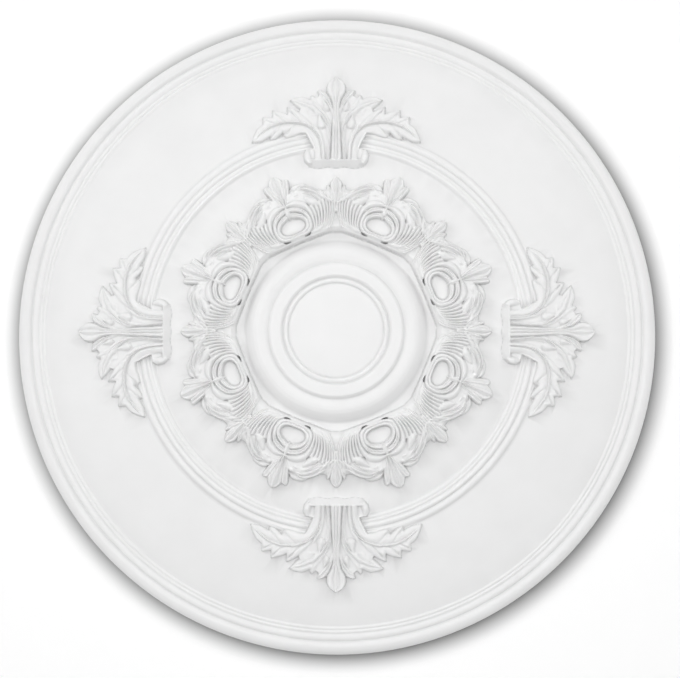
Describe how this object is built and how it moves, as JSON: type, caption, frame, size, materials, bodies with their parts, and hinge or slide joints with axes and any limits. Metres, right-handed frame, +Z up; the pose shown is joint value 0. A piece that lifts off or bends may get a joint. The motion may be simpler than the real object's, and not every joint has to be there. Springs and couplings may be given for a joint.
{
  "type": "ceiling rose",
  "caption": "Round moulded ceiling rose with a beaded rim, a middle ring crossed by leaf palmettes, and a scrolled leaf wreath round a stepped boss.",
  "frame": {"origin": "centre of the flat back, where it meets the ceiling", "axes": "+Z up into the ceiling along the rose's axis; the relief faces -Z, down into the room; a palmette lies on each of +X, -X, +Y and -Y"},
  "size_m": [0.66, 0.66, 0.0519],
  "materials": {
    "primed_white": "hard moulded foam with a smooth white primer, satin-matt"
  },
  "bodies": {
    "root": {"ceiling_rose": "primed_white"}
  },
  "joints": []
}
